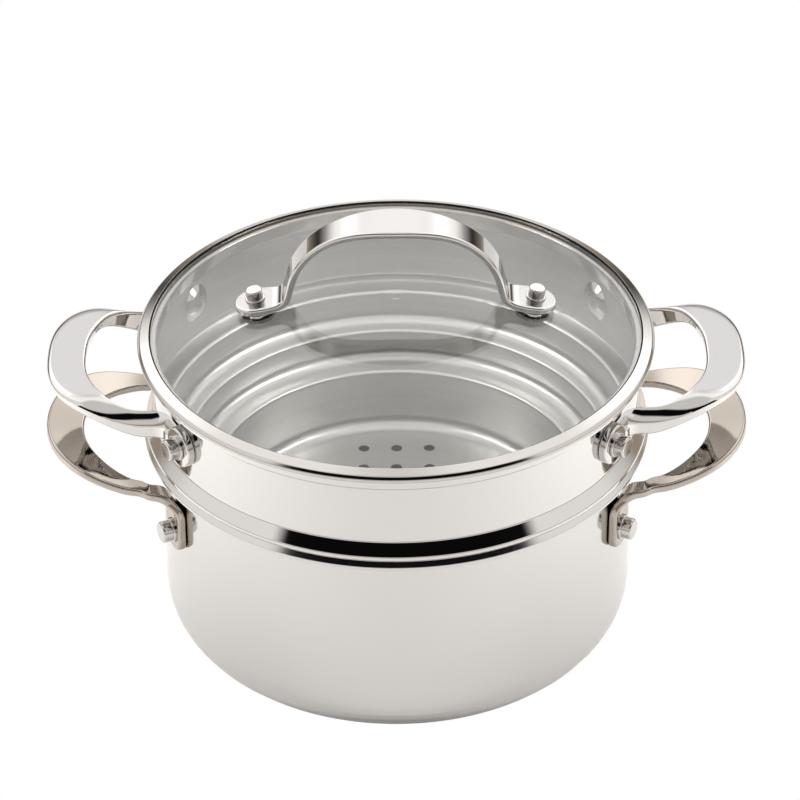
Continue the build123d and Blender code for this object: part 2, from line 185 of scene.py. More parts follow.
HOLE_DIAMETER = 4.8
HOLE_PITCH = 14.2
HOLE_FIELD_RADIUS = 60.0
HOLE_SIDES = 36
LID_SHEET = 0.6
LID_OVERHANG = 2.8
GLASS_GAP = 0.3
GLASS_SPHERE = 352.0
GLASS_EDGE = 2.0
LID_GRIP = 4.6
LID_RIM_BEND = 0.4
LID_RIM_SLOPE = (0.8, 0.9)
LID_FLANGE_BEND = 0.9
LID_SKIRT_BEND = 1.2
LID_SKIRT_DEPTH = 5.1
SKIRT_GAP = 1.1
RIM_LIFT = 0.05
RIM_EDGE = 0.2
RIM_BEVEL = 0.5
FIT_GAP = 0.05

# Sizes of the lofted handles, in millimetres
CORNER_STEPS = 6
LID_RIVET_X = 56.3
WASHER_THICKNESS = 1.5
STRAP_THICKNESS = 3.2
STRAP_RISE = 36.8
STRAP_ROUND = 1.1
STRAP_TOP_WIDTH = 20.6
STRAP_LEG_WIDTH = 14.4
STRAP_TAPER_X = 34.0
ARCH_HALF = 43.3
ARCH_SQUARENESS = 2.3
ARCH_STEPS = 160
FOOT_STEPS = ARCH_STEPS // 4
ARCH_LIFT = 9.5
FOOT_DIAMETER = 18.0
FOOT_JOIN_X = 50.5
FOOT_WIDENS = (ARCH_HALF - 1.0, LID_RIVET_X - 2.0)
FOOT_OVERLAP = 0.03
STATION_STEP = 1.0
GRIP_REACH = 43.4
GRIP_WIDTH = 16.0
GRIP_THICKNESS = 4.6
GRIP_DROP = 6.3
GRIP_HALF_WIDTH = 41.0
GRIP_SQUARENESS = 2.55
GRIP_WIDENS = (5.0, 36.0)
GRIP_RISES = (4.0, 26.0)
GRIP_LIFTS = (1.5, 31.0)
GRIP_ROUND = 1.4
GRIP_TURN_STEP = 2.5
SLOPE_FADES = (14.0, 40.0)
SLOPE_SHARES = (0.9, 0.52)
SLOPE_FLATNESS = 1.5
SMALL_CORNER_SHARE = 0.8
LEG_DROP = 10.7
LEG_DEPTH = 11.1
LEG_THICKNESS = 4.2
LEG_BEND = 8.0
LEG_BEND_STEPS = 12
PAD_RADIUS = 8.5
PAD_THICKNESS = 3.5
PAD_INSET = 0.2
PAD_ROUND = 0.8
PAD_ANGLE = 31.5
PAD_DROP = 17.3


class Nodes:
    """A small builder of node trees: each call adds a node, sets its inputs and returns it."""

    def __init__(self, tree):
        self.tree = tree
        tree.nodes.clear()

    def add(self, kind, inputs=None, **settings):
        node = self.tree.nodes.new(kind)
        for key, value in settings.items():
            setattr(node, key, value)
        for key, value in (inputs or {}).items():
            socket = node.inputs[key]
            if isinstance(value, bpy.types.NodeSocket):
                self.tree.links.new(value, socket)
            else:
                socket.default_value = value
        return node

    def math(self, operation, *values):
        return self.add("ShaderNodeMath", dict(enumerate(values)), operation=operation).outputs[0]

    def range(self, value, low, high, new_low=0.0, new_high=1.0):
        """A value taken from one range to another, eased at both ends."""
        node = self.add("ShaderNodeMapRange", {
            "Value": value, "From Min": low, "From Max": high, "To Min": new_low, "To Max": new_high,
        }, interpolation_type="SMOOTHSTEP")
        return node.outputs["Result"]

    def noise(self, vector, scale, detail=3.0, roughness=0.5):
        node = self.add("ShaderNodeTexNoise", {
            "Vector": vector, "Scale": scale, "Detail": detail, "Roughness": roughness})
        return node.outputs["Fac"]

    def mix(self, share, low, high):
        node = self.add("ShaderNodeMix", {0: share, 6: low, 7: high}, data_type="RGBA")
        return node.outputs[2]

    def bump(self, height, strength, distance=BUMP_DISTANCE):
        node = self.add("ShaderNodeBump", {"Height": height, "Strength": strength, "Distance": distance})
        return node.outputs[0]

    def vector(self, x, y, z):
        return self.add("ShaderNodeCombineXYZ", {"X": x, "Y": y, "Z": z}).outputs[0]

    def place(self):
        """The surface point's own coordinates, split into x, y and z."""
        point = self.add("ShaderNodeTexCoord").outputs["Object"]
        split = self.add("ShaderNodeSeparateXYZ", {0: point})
        return point, split.outputs[0], split.outputs[1], split.outputs[2]


def material(name):
    mat = bpy.data.materials.new(name)
    mat.use_nodes = True
    return mat, Nodes(mat.node_tree)


def finish_material(nodes, inputs):
    """Ends a material in one principled shader."""
    shader = nodes.add("ShaderNodeBsdfPrincipled", inputs)
    nodes.add("ShaderNodeOutputMaterial", {"Surface": shader.outputs[0]})


def radius_of(nodes, x, y):
    return nodes.math("SQRT", nodes.math("ADD", nodes.math("MULTIPLY", x, x), nodes.math("MULTIPLY", y, y)))


def polished_steel(name, color, roughness):
    """Polished sheet steel: nearly a mirror, with faint polishing haze and scratches."""
    mat, nodes = material(name)
    point, _, _, _ = nodes.place()
    haze = nodes.math("MULTIPLY", nodes.noise(point, HAZE_SCALE), HAZE_DEPTH)
    finish_material(nodes, {
        "Base Color": color, "Metallic": 1.0, "Roughness": nodes.math("ADD", haze, roughness - HAZE_DEPTH / 2),
        "Normal": nodes.bump(nodes.noise(point, SCRATCH_SCALE, PLAIN_DETAIL), SCRATCH_BUMP)})
    return mat


def turned_steel(name, color, roughness):
    """Satin steel brushed in rings round the vertical axis, with fine concentric lines."""
    mat, nodes = material(name)
    _, x, y, z = nodes.place()
    turn = nodes.math("ARCTAN2", y, x)
    ring = nodes.vector(radius_of(nodes, x, y), z, nodes.math("MULTIPLY", turn, RING_TWIST))
    fine = nodes.noise(ring, RING_FINE_SCALE, PLAIN_DETAIL, RING_GRAIN)
    broad = nodes.noise(ring, RING_BROAD_SCALE, PLAIN_DETAIL)
    dull = [part * RING_DULL_SHARE for part in color[:3]] + [1.0]
    around = nodes.add("ShaderNodeTangent", direction_type="RADIAL", axis="Z")
    finish_material(nodes, {
        "Base Color": nodes.mix(nodes.range(nodes.math("ADD", fine, broad), *RING_SHADE_RANGE), dull, color),
        "Metallic": 1.0,
        "Roughness": nodes.range(fine, *NOISE_RANGE, *(roughness + shift for shift in RING_ROUGHNESS)),
        "Normal": nodes.bump(fine, RING_BUMP),
        "Anisotropic": RING_STRETCH,
        "Tangent": around.outputs[0]})
    return mat


def handle_steel(name, color, shaded_top_color, satin):
    """Polished steel whose level tops have a satin of their own and a darker colour, which is painted shade."""
    mat, nodes = material(name)
    point, x, y, _ = nodes.place()
    normal = nodes.add("ShaderNodeTexCoord").outputs["Normal"]
    up = nodes.add("ShaderNodeSeparateXYZ", {0: normal}).outputs[2]
    level = nodes.range(up, *LEVEL_RANGE)
    pulled = [nodes.math("MULTIPLY", part, pull) for part, pull in zip((x, y), GRAIN_PULL)]
    grain = nodes.math("MULTIPLY", nodes.noise(nodes.vector(*pulled, 0.0), GRAIN_SCALE), GRAIN_DEPTH)
    rough = nodes.math("ADD", nodes.math("MULTIPLY", level, satin), grain)
    # The level tops get the darker colour: painted shade
    finish_material(nodes, {
        "Base Color": nodes.mix(level, color, shaded_top_color), "Metallic": 1.0,
        "Roughness": nodes.math("ADD", rough, HANDLE_POLISH),
        "Normal": nodes.bump(nodes.noise(point, HANDLE_BUMP_SCALE, PLAIN_DETAIL), HANDLE_BUMP)})
    return mat


def clear_glass(name):
    """Toughened lid glass with a faint green body."""
    mat, nodes = material(name)
    point, _, _, _ = nodes.place()
    smear = nodes.range(nodes.noise(point, SMEAR_SCALE), *NOISE_RANGE, 0.0, SMEAR_ROUGHNESS)
    finish_material(nodes, {
        "Base Color": GLASS_COLOR, "Roughness": smear, "IOR": GLASS_IOR, "Transmission Weight": 1.0})
    return mat


def rubber(name, tones, shine):
    """Black silicone with a fine grain between two grey tones; near black, it also makes the painted shade along
    the lid rim's inner edge.
    """
    mat, nodes = material(name)
    point, _, _, _ = nodes.place()
    grain = nodes.noise(point, RUBBER_GRAIN_SCALE, PLAIN_DETAIL)
    dark, pale = [(tone, tone, tone, 1.0) for tone in tones]
    finish_material(nodes, {
        "Base Color": nodes.mix(grain, dark, pale), "Roughness": RUBBER_ROUGHNESS, "Specular IOR Level": shine,
        "Normal": nodes.bump(grain, RUBBER_BUMP, RUBBER_BUMP_DISTANCE)})
    return mat


def rounded(corners):
    """The points of an outline given as corners (radius, height, bend, finish), bends as fine arcs.

    Each point comes with the finish of the stretch that follows it.
    """
    spots = [Vector((x, y)) for x, y, _, _ in corners]
    points = []
    for i, (_, _, bend, finish) in enumerate(corners):
        corner = spots[i]
        before = corners[i - 1][3]
        back = (spots[i - 1] - corner).normalized()
        ahead = (spots[(i + 1) % len(spots)] - corner).normalized()
        if not bend:
            points.append((corner, finish))
            continue
        half = back.angle(ahead) / 2
        start = corner + back * (bend / math.tan(half))
        centre = corner + (back + ahead).normalized() * (bend / math.sin(half))
        sweep = math.pi - half * 2
        turn = math.copysign(sweep, -(back.x * ahead.y - back.y * ahead.x))
        steps = max(2, math.ceil(sweep / ARC_STEP))
        for step in range(steps + 1):
            angle = turn * step / steps
            arm = start - centre
            spun = Vector((arm.x * math.cos(angle) - arm.y * math.sin(angle),
                           arm.x * math.sin(angle) + arm.y * math.cos(angle)))
            points.append((centre + spun, before if step * 2 < steps else finish))
    return points


def sheet(path, thickness, far_finish):
    """The corners of a sheet of even thickness to the left of a path of (radius, height, bend, finish)."""
    spots = [Vector((x, y)) for x, y, _, _ in path]
    runs = [(b - a).normalized() for a, b in zip(spots, spots[1:])]
    normals = [Vector((-run.y, run.x)) for run in runs]
    far = []
    for i, spot in enumerate(spots):
        before = normals[max(i - 1, 0)]
        after = normals[min(i, len(normals) - 1)]
        moved = spot + (before + after) * (thickness / (1 + before.dot(after)))
        bend = path[i][2]
        if bend:
            turns_left = before.x * after.y - before.y * after.x > 0
            bend = max(bend - thickness, 0) if turns_left else bend + thickness
        far.append((moved.x, moved.y, bend, far_finish(i)))
    return list(path) + far[::-1]


def with_supports(points):
    """The same outline with extra points close to both ends of each long straight run."""
    dense = []
    for i, (point, finish) in enumerate(points):
        ahead = points[(i + 1) % len(points)][0]
        dense.append((point, finish))
        gap = (ahead - point).length
        if gap > SUPPORTED_RUN:
            step = (ahead - point).normalized() * EDGE_SUPPORT
            dense += [(point + step, finish), (ahead - step, finish)]
    return dense


def spin(work, points, closed=True, segments=SEGMENTS, move=None):
    """Adds a turned surface to a bmesh from an outline of ((radius, height), finish), in millimetres.

    A move, if given, takes each point of the turned surface to where it belongs.
    """
    def vert(radius, turn, height):
        place = Vector((radius * math.cos(turn), radius * math.sin(turn), height))
        return work.verts.new((move(place) if move else place) * MM)

    rings = []
    for point, _ in points:
        turns = [math.tau * i / segments for i in range(segments)] if point.x > ON_AXIS else [0.0]
        rings.append([vert(point.x, turn, point.y) for turn in turns])
    last = len(points) if closed else len(points) - 1
    for i in range(last):
        low, high = rings[i], rings[(i + 1) % len(points)]
        if len(low) == 1 and len(high) == 1:
            continue
        for j in range(segments):
            k = (j + 1) % segments
            if len(low) == 1:
                corners = (low[0], high[k], high[j])
            elif len(high) == 1:
                corners = (low[j], low[k], high[0])
            else:
                corners = (low[j], low[k], high[k], high[j])
            work.faces.new(corners).material_index = points[i][1]


def stand_in(name, work, materials, body, node):
    """Turns a bmesh into a smooth piece that stands for a CAD node."""
    mesh = bpy.data.meshes.new(name)
    for face in work.faces:
        face.smooth = True
    work.to_mesh(mesh)
    work.free()
    for mat in materials:
        mesh.materials.append(mat)
    mesh.set_sharp_from_angle(angle=SHARP_ANGLE)
    piece = bpy.data.objects.new(name, mesh)
    bpy.context.scene.collection.objects.link(piece)
    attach(piece, body)
    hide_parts(node)
    return piece


def lathe(name, points, materials, body, node, closed=True):
    """A turned piece that stands for a CAD node."""
    work = bmesh.new()
    spin(work, points, closed)
    return stand_in(name, work, materials, body, node)


def make_pot(outside, inside):
    inner = POT_RADIUS - POT_WALL
    lip_radius = POT_RADIUS + LIP_REACH
    underside = POT_HEIGHT - LIP_DEPTH
    corners = [
        (0, 0, 0, 0),
        (POT_RADIUS, 0, POT_CORNER, 0),
        (POT_RADIUS, underside, LIP_BEND, 0),
        (lip_radius, underside, LIP_EDGE, 0),
        (lip_radius, POT_HEIGHT - LIP_SLOPE[1], LIP_EDGE, 0),
        (lip_radius - LIP_SLOPE[0], POT_HEIGHT, LIP_EDGE, 0),
        (inner, POT_HEIGHT, MOUTH_BEND, 1),
        (inner, POT_BASE, POT_CORNER - POT_WALL, 1),
        (0, POT_BASE, 0, 1),
    ]
    return lathe("pot_shell", with_supports(rounded(corners)), [outside, inside], "pot", "pot_body", closed=False)


def make_insert(outside, inside):
    upper = POT_RADIUS - POT_WALL - INSERT_PLAY
    middle = upper - UPPER_LEDGE_WIDTH
    lower = middle - LOWER_LEDGE_WIDTH
    rim = BAND_RADIUS + RIM_STEP
    seat = POT_HEIGHT
    curl = rim + RIM_CURL
    plate_radius = lower - WALL_DRAFT - FLOOR_BEND
    path = [
        (plate_radius, seat - FLOOR_DROP, 0, 0),
        (lower - WALL_DRAFT, seat - FLOOR_DROP, FLOOR_BEND - EDGE_SUPPORT, 0),
        (lower, seat - LOWER_LEDGE_DROP, CRISP_BEND, 0),
        (middle - WALL_DRAFT, seat - LOWER_LEDGE_DROP, LEDGE_BEND, 0),
        (middle, seat - UPPER_LEDGE_DROP, CRISP_BEND, 0),
        (upper - WALL_DRAFT, seat - UPPER_LEDGE_DROP, LEDGE_BEND, 0),
        (upper, seat, CRISP_BEND, 0),
        (SHOULDER_RADIUS, seat, SHOULDER_BEND, 0),
        (SHOULDER_RADIUS, seat + SHOULDER_RISE, SHOULDER_BEND, 0),
        (BAND_RADIUS, seat + CREASE_RISE, CREASE_BEND, 0),
        (BAND_RADIUS, seat + BAND_RISE, BAND_BEND, 0),
        (rim, seat + BAND_RISE + RIM_STEP, RIM_STEP_BEND, 0),
        (rim, seat + RIM_RISE, RIM_BEND, 0),
        (curl, seat + RIM_RISE, RIM_BEND, 0),
        (curl, seat + RIM_RISE - RIM_CURL_DEPTH, 0, 0),
    ]
    curl_start = len(path) - 2
    corners = sheet(path, INSERT_SHEET, lambda i: 0 if i >= curl_start else 1)
    points = with_supports(rounded(corners))
    shell = lathe("insert_shell", points, [outside, inside], "insert", "insert_body", closed=False)
    make_insert_floor(shell, plate_radius, seat - FLOOR_DROP)


def make_insert_floor(shell, radius, height):
    """The perforated floor, welded to the shell: a disc filled between its edge and the edges of its holes."""
    curve = bpy.data.curves.new("floor_plate", "CURVE")
    curve.dimensions = "2D"
    curve.fill_mode = "BOTH"
    curve.extrude = INSERT_SHEET / 2 * MM
    count = int(HOLE_FIELD_RADIUS / HOLE_PITCH)
    steps = range(-count, count + 1)
    holes = [(i * HOLE_PITCH, j * HOLE_PITCH, HOLE_DIAMETER / 2, HOLE_SIDES) for i in steps for j in steps
             if math.hypot(i, j) * HOLE_PITCH <= HOLE_FIELD_RADIUS]
    for x, y, size, sides in [(0, 0, radius, SEGMENTS)] + holes:
        line = curve.splines.new("POLY")
        line.points.add(sides - 1)
        line.use_cyclic_u = True
        for i, point in enumerate(line.points):
            turn = math.tau * i / sides
            point.co = ((x + size * math.cos(turn)) * MM, (y + size * math.sin(turn)) * MM, 0.0, 1.0)
    plate = bpy.data.objects.new("floor_plate", curve)
    bpy.context.scene.collection.objects.link(plate)
    bpy.context.view_layer.update()
    mesh = bpy.data.meshes.new_from_object(plate)
    bpy.data.objects.remove(plate)
    mesh.transform(Matrix.Translation((0, 0, (height + INSERT_SHEET / 2) * MM)))
    work = bmesh.new()
    work.from_mesh(shell.data)
    first = len(work.faces)
    work.from_mesh(mesh)
    work.faces.ensure_lookup_table()
    plate_faces = work.faces[first:]
    for face in plate_faces:
        face.smooth = False
        face.material_index = 1 if face.normal.z > -UPRIGHT else 0
    weld_radius = (radius - EDGE_SUPPORT) * MM
    edge_faces = [face for face in plate_faces if abs(face.normal.z) < UPRIGHT
                  and min(vert.co.xy.length for vert in face.verts) > weld_radius]
    bmesh.ops.delete(work, geom=edge_faces, context="FACES")
    bmesh.ops.remove_doubles(work, verts=work.verts, dist=WELD_GAP)
    work.to_mesh(shell.data)
    work.free()


def glass_height(radius):
    """The height of the glass's upper face at a radius."""
    glass_radius = rim_outer() - LID_SHEET - GLASS_GAP
    seat = POT_HEIGHT + RIM_RISE + INSERT_SHEET + LID_SHEET
    apex = seat + GLASS_EDGE + GLASS_SPHERE - math.sqrt(GLASS_SPHERE**2 - glass_radius**2)
    return apex - GLASS_SPHERE + math.sqrt(GLASS_SPHERE**2 - radius**2)


def rim_outer():
    """The outer radius of the lid's rim."""
    return BAND_RADIUS + RIM_STEP + RIM_CURL + INSERT_SHEET + LID_OVERHANG


def make_lid_rim(steel, painted_shade):
    inner = rim_outer() - LID_SHEET - GLASS_GAP - LID_GRIP
    outer = rim_outer() - LID_SHEET
    skirt = BAND_RADIUS - INSERT_SHEET - SKIRT_GAP - LID_SHEET
    rim_top = POT_HEIGHT + RIM_RISE + INSERT_SHEET
    path = [
        (inner, glass_height(inner) + FIT_GAP, 0, 0),
        (outer - LID_RIM_SLOPE[0], glass_height(outer) + FIT_GAP, LID_RIM_BEND, 0),
        (outer, glass_height(outer) + FIT_GAP - LID_RIM_SLOPE[1], LID_RIM_BEND, 0),
        (outer, rim_top + LID_SHEET, LID_FLANGE_BEND, 0),
        (skirt, rim_top + LID_SHEET, LID_SKIRT_BEND, 0),
        (skirt, rim_top - LID_SKIRT_DEPTH, 0, 0),
    ]
    corners = sheet(path, LID_SHEET, lambda i: 0)
    bevel_radius = corners[-1][0] + RIM_BEVEL
    # The bevel on the rim's inner edge takes the near-black painted shade
    corners[-1] = (bevel_radius, glass_height(bevel_radius) + FIT_GAP + LID_SHEET + RIM_LIFT, RIM_EDGE, 1)
    lathe("lid_rim_band", with_supports(rounded(corners)), [steel, painted_shade], "lid", "lid_rim")


def eased(value, low, high):
    """A share that is 0 up to low and 1 from high on, with a smooth rise between."""
    share = min(max((value - low) / (high - low), 0), 1)
    return share * share * (3 - 2 * share)


def blended(value, limits, start, end):
    return start + (end - start) * eased(value, *limits)


def section(width, depth, corners):
    """A rectangle's outline, anticlockwise from its corner at +, +.

    Each corner is (round across, round down, flatness): 1 is a quarter of an ellipse, 2 a straight slope.
    """
    signs = ((1, 1), (-1, 1), (-1, -1), (1, -1))
    points = []
    for i, (sign_u, sign_v) in enumerate(signs):
        round_u, round_v, flatness = corners[i]
        for step in range(CORNER_STEPS + 1):
            turn = math.radians(90 * (i + step / CORNER_STEPS))
            along, aside = (math.copysign(abs(part)**flatness, part) for part in (math.cos(turn), math.sin(turn)))
            points.append(Vector((sign_u * (width / 2 - round_u) + round_u * along,
                                  sign_v * (depth / 2 - round_v) + round_v * aside)))
    dense = []
    for i, point in enumerate(points):
        dense.append(point)
        if i % (CORNER_STEPS + 1) == CORNER_STEPS:
            ahead = points[(i + 1) % len(points)]
            step = (ahead - point) * min(EDGE_SUPPORT / max((ahead - point).length, EDGE_SUPPORT), 1 / 3)
            dense += [point + step, ahead - step]
    return dense


def loft(work, stations):
    """Adds a bar to a bmesh through stations of (place, across, up, width, depth, corners)."""
    rings = []
    for place, across, up, width, depth, corners in stations:
        rings.append([work.verts.new((place + across * point.x + up * point.y) * MM)
                      for point in section(width, depth, corners)])
    for low, high in zip(rings, rings[1:]):
        for j in range(len(low)):
            k = (j + 1) % len(low)
            work.faces.new((low[j], low[k], high[k], high[j]))
    work.faces.new(rings[0])
    work.faces.new(rings[-1])


def arch_path(seat, slope, top):
    """Points of the lid handle's middle line, from its top down to a foot, close together."""
    base = seat.z + (seat.x - ARCH_HALF) * -slope.z / slope.x
    points = []
    for step in range(ARCH_STEPS):
        turn = math.pi / 2 * (1 - step / ARCH_STEPS)
        point = Vector((ARCH_HALF * math.cos(turn)**(2 / ARCH_SQUARENESS), 0,
                        base + (top - base) * math.sin(turn)**(2 / ARCH_SQUARENESS)))
        if point.z < base + ARCH_LIFT:
            break
        points.append(point)
    start = points[-1]
    end = seat - slope * (seat.x - FOOT_JOIN_X)
    pull = (end - start).length / 2
    first = start + (points[-1] - points[-2]).normalized() * pull
    second = end - slope * pull
    for step in range(1, FOOT_STEPS + 1):
        share = step / FOOT_STEPS
        rest = 1 - share
        points.append(start * rest**3 + first * (3 * rest**2 * share) + second * (3 * rest * share**2)
                      + end * share**3)
    points.append(seat)
    return points


def evenly(points, step):
    """The same line with its points an even step apart."""
    made = [points[0]]
    for ahead in points[1:]:
        while (ahead - made[-1]).length > step:
            made.append(made[-1] + (ahead - made[-1]).normalized() * step)
    made.append(points[-1])
    return made


def make_lid_handle(steel):
    """The lid handle: a rounded arch that widens to its top, on two round feet that lie along the glass."""
    tilt = math.asin(LID_RIVET_X / GLASS_SPHERE)
    middle = WASHER_THICKNESS + STRAP_THICKNESS / 2
    square = Vector((math.sin(tilt), 0, math.cos(tilt)))
    slope = Vector((math.cos(tilt), 0, -math.sin(tilt)))
    on_glass = Vector((LID_RIVET_X, 0, glass_height(LID_RIVET_X)))
    seat = on_glass + square * middle
    half = evenly(arch_path(seat, slope, on_glass.z + middle + STRAP_RISE), STATION_STEP)
    path = [Vector((-point.x, 0, point.z)) for point in reversed(half[1:])] + half
    stations = []
    for i, point in enumerate(path):
        run = (path[min(i + 1, len(path) - 1)] - path[max(i - 1, 0)]).normalized()
        aside = abs(point.x)
        width = blended(aside, (0, STRAP_TAPER_X), STRAP_TOP_WIDTH, STRAP_LEG_WIDTH)
        width = blended(aside, FOOT_WIDENS, width, FOOT_DIAMETER - FOOT_OVERLAP * 2)
        stations.append((point, Vector((0, 1, 0)), Vector((-run.z, 0, run.x)), width,
                         STRAP_THICKNESS - FOOT_OVERLAP * 2, [(STRAP_ROUND, STRAP_ROUND, 1)] * 4))
    work = bmesh.new()
    loft(work, stations)
    radius = FOOT_DIAMETER / 2
    high = WASHER_THICKNESS + STRAP_THICKNESS
    disc = rounded([(0, WASHER_THICKNESS, 0, 0), (radius, WASHER_THICKNESS, STRAP_ROUND, 0),
                    (radius, high, STRAP_ROUND, 0), (0, high, 0, 0)])
    for side in (1, -1):
        turn = Matrix.Translation((side * on_glass.x, 0, on_glass.z)) @ Matrix.Rotation(side * tilt, 4, "Y")
        spin(work, with_supports(disc), False, SMALL_SEGMENTS, lambda place: turn @ place)
    bmesh.ops.recalc_face_normals(work, faces=work.faces)
    stand_in("lid_arch", work, [steel], "lid", "lid_handle")


def grip_stations():
    """The rear half of an insert handle, from the middle of its grip to its pad on the wall."""
    rim_top = POT_HEIGHT + RIM_RISE + INSERT_SHEET
    reach = GRIP_REACH - GRIP_WIDTH / 2
    leg_y = GRIP_HALF_WIDTH - LEG_THICKNESS / 2
    leg_top = rim_top - LEG_DROP
    leg_bottom = leg_top - LEG_DEPTH
    grip_top = rim_top - GRIP_DROP
    up = Vector((0, 0, 1))
    stations = []
    for step in range(int(90 / GRIP_TURN_STEP)):
        turn = math.radians(step * GRIP_TURN_STEP)
        along, aside = math.cos(turn), math.sin(turn)
        away = reach * along**(2 / GRIP_SQUARENESS)
        place = Vector((BAND_RADIUS + away, leg_y * aside**(2 / GRIP_SQUARENESS), 0))
        outward = Vector((along**(2 - 2 / GRIP_SQUARENESS) / reach,
                          aside**(2 - 2 / GRIP_SQUARENESS) / leg_y, 0)).normalized()
        top = blended(away, GRIP_RISES, leg_top, grip_top)
        bottom = blended(away, GRIP_LIFTS, leg_bottom, grip_top - GRIP_THICKNESS)
        width = blended(away, GRIP_WIDENS, LEG_THICKNESS, GRIP_WIDTH)
        place.z = (top + bottom) / 2
        stations.append((place, outward, up, width, top - bottom, grip_corners(away, width, top - bottom)))
    hug = BAND_RADIUS + FIT_GAP + PAD_THICKNESS / 2
    side_y = leg_y + LEG_BEND
    centre = Vector((math.sqrt((hug + LEG_BEND)**2 - side_y**2), side_y, (leg_top + leg_bottom) / 2))
    wall_angle = math.degrees(math.asin(side_y / (hug + LEG_BEND)))
    end_thickness = PAD_THICKNESS - PAD_INSET * 2
    for step in range(LEG_BEND_STEPS + 1):
        share = step / LEG_BEND_STEPS
        heading = math.radians(180 - (90 - wall_angle) * share)
        side = Vector((math.sin(heading), -math.cos(heading), 0))
        thickness = LEG_THICKNESS + (end_thickness - LEG_THICKNESS) * share
        stations.append((centre - side * LEG_BEND, side, up, thickness, LEG_DEPTH,
                         grip_corners(0, thickness, LEG_DEPTH)))
    for step in range(1, LEG_BEND_STEPS + 1):
        turn = math.radians(wall_angle + (PAD_ANGLE - wall_angle) * step / LEG_BEND_STEPS)
        side = Vector((math.cos(turn), math.sin(turn), 0))
        stations.append((side * hug + up * centre.z, side, up, end_thickness, LEG_DEPTH,
                         grip_corners(0, end_thickness, LEG_DEPTH)))
    return stations


def grip_corners(away, width, depth):
    """The outer upper corner is a long slope on the legs, which fades out on the grip."""
    fade = eased(away, *SLOPE_FADES)
    across = width * SLOPE_SHARES[0] * (1 - fade) + GRIP_ROUND * fade
    down = depth * SLOPE_SHARES[1] * (1 - fade) + GRIP_ROUND * fade
    small = min(GRIP_ROUND, (width - across) * SMALL_CORNER_SHARE)
    plain = (GRIP_ROUND, GRIP_ROUND, 1)
    return [(across, down, 1 + (SLOPE_FLATNESS - 1) * (1 - fade)), (small, GRIP_ROUND, 1), plain, plain]


def make_insert_handles(steel):
    """The insert's handles: a grip on two legs, with a round pad on the wall at each leg's end."""
    rear = grip_stations()
    flip = Vector((1, -1, 1))
    front = [(place * flip, across * flip, up, width, depth, corners)
             for place, across, up, width, depth, corners in reversed(rear[1:])]
    pad = rounded([(0, 0, 0, 0), (PAD_RADIUS, 0, PAD_ROUND, 0), (PAD_RADIUS, PAD_THICKNESS, PAD_ROUND, 0),
                   (0, PAD_THICKNESS, 0, 0)])
    pad_z = POT_HEIGHT + RIM_RISE + INSERT_SHEET - PAD_DROP
    for name, half_turn in (("right", 0), ("left", 1)):
        work = bmesh.new()
        loft(work, front + rear)
        for angle in (PAD_ANGLE, -PAD_ANGLE):
            def hug(place):
                turn = math.radians(angle) + place.x / BAND_RADIUS
                radius = BAND_RADIUS + FIT_GAP + place.z
                return Vector((radius * math.cos(turn), radius * math.sin(turn), pad_z + place.y))
            spin(work, with_supports(pad), False, SMALL_SEGMENTS, hug)
        bmesh.ops.recalc_face_normals(work, faces=work.faces)
        bmesh.ops.rotate(work, verts=work.verts, matrix=Matrix.Rotation(math.pi * half_turn, 3, "Z"))
        stand_in(f"insert_grip_{name}", work, [steel], "insert", f"insert_handle_{name}")


def dress(node, mat):
    """Gives a CAD node its material."""
    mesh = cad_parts[node].data
    mesh.materials.clear()
    mesh.materials.append(mat)


def make_camera():
    data = bpy.data.cameras.new("photo_camera")
    data.lens = CAMERA_LENS
    data.sensor_width = CAMERA_SENSOR
    data.shift_x, data.shift_y = CAMERA_SHIFT
    data.clip_end = CAMERA_REACH
    camera = bpy.data.objects.new("photo_camera", data)
    tilt = Matrix.Rotation(math.pi / 2 - CAMERA_PITCH, 4, "X")
    camera.matrix_world = Matrix.Translation(CAMERA_PLACE) @ tilt @ Matrix.Rotation(CAMERA_ROLL, 4, "Z")
    bpy.context.scene.collection.objects.link(camera)
    bpy.context.scene.camera = camera


def stretch_of_room(nodes, azimuth, height, place, edge=SOFT_EDGE):
    """1 inside a soft-edged stretch of the room, 0 outside it."""
    middle, level, half_width, half_height = place
    aside = nodes.math("ABSOLUTE", nodes.math("SUBTRACT", azimuth, middle))
    above = nodes.math("ABSOLUTE", nodes.math("SUBTRACT", height, level))
    wide = nodes.range(aside, half_width - edge, half_width + edge, 1.0, 0.0)
    high = nodes.range(above, half_height - edge, half_height + edge, 1.0, 0.0)
    return nodes.math("MULTIPLY", wide, high)


def seen_straight(nodes, light_path):
    """1 for what the camera sees, straight or through glass."""
    return nodes.math("MAXIMUM", light_path.outputs["Is Camera Ray"], light_path.outputs["Is Transmission Ray"])


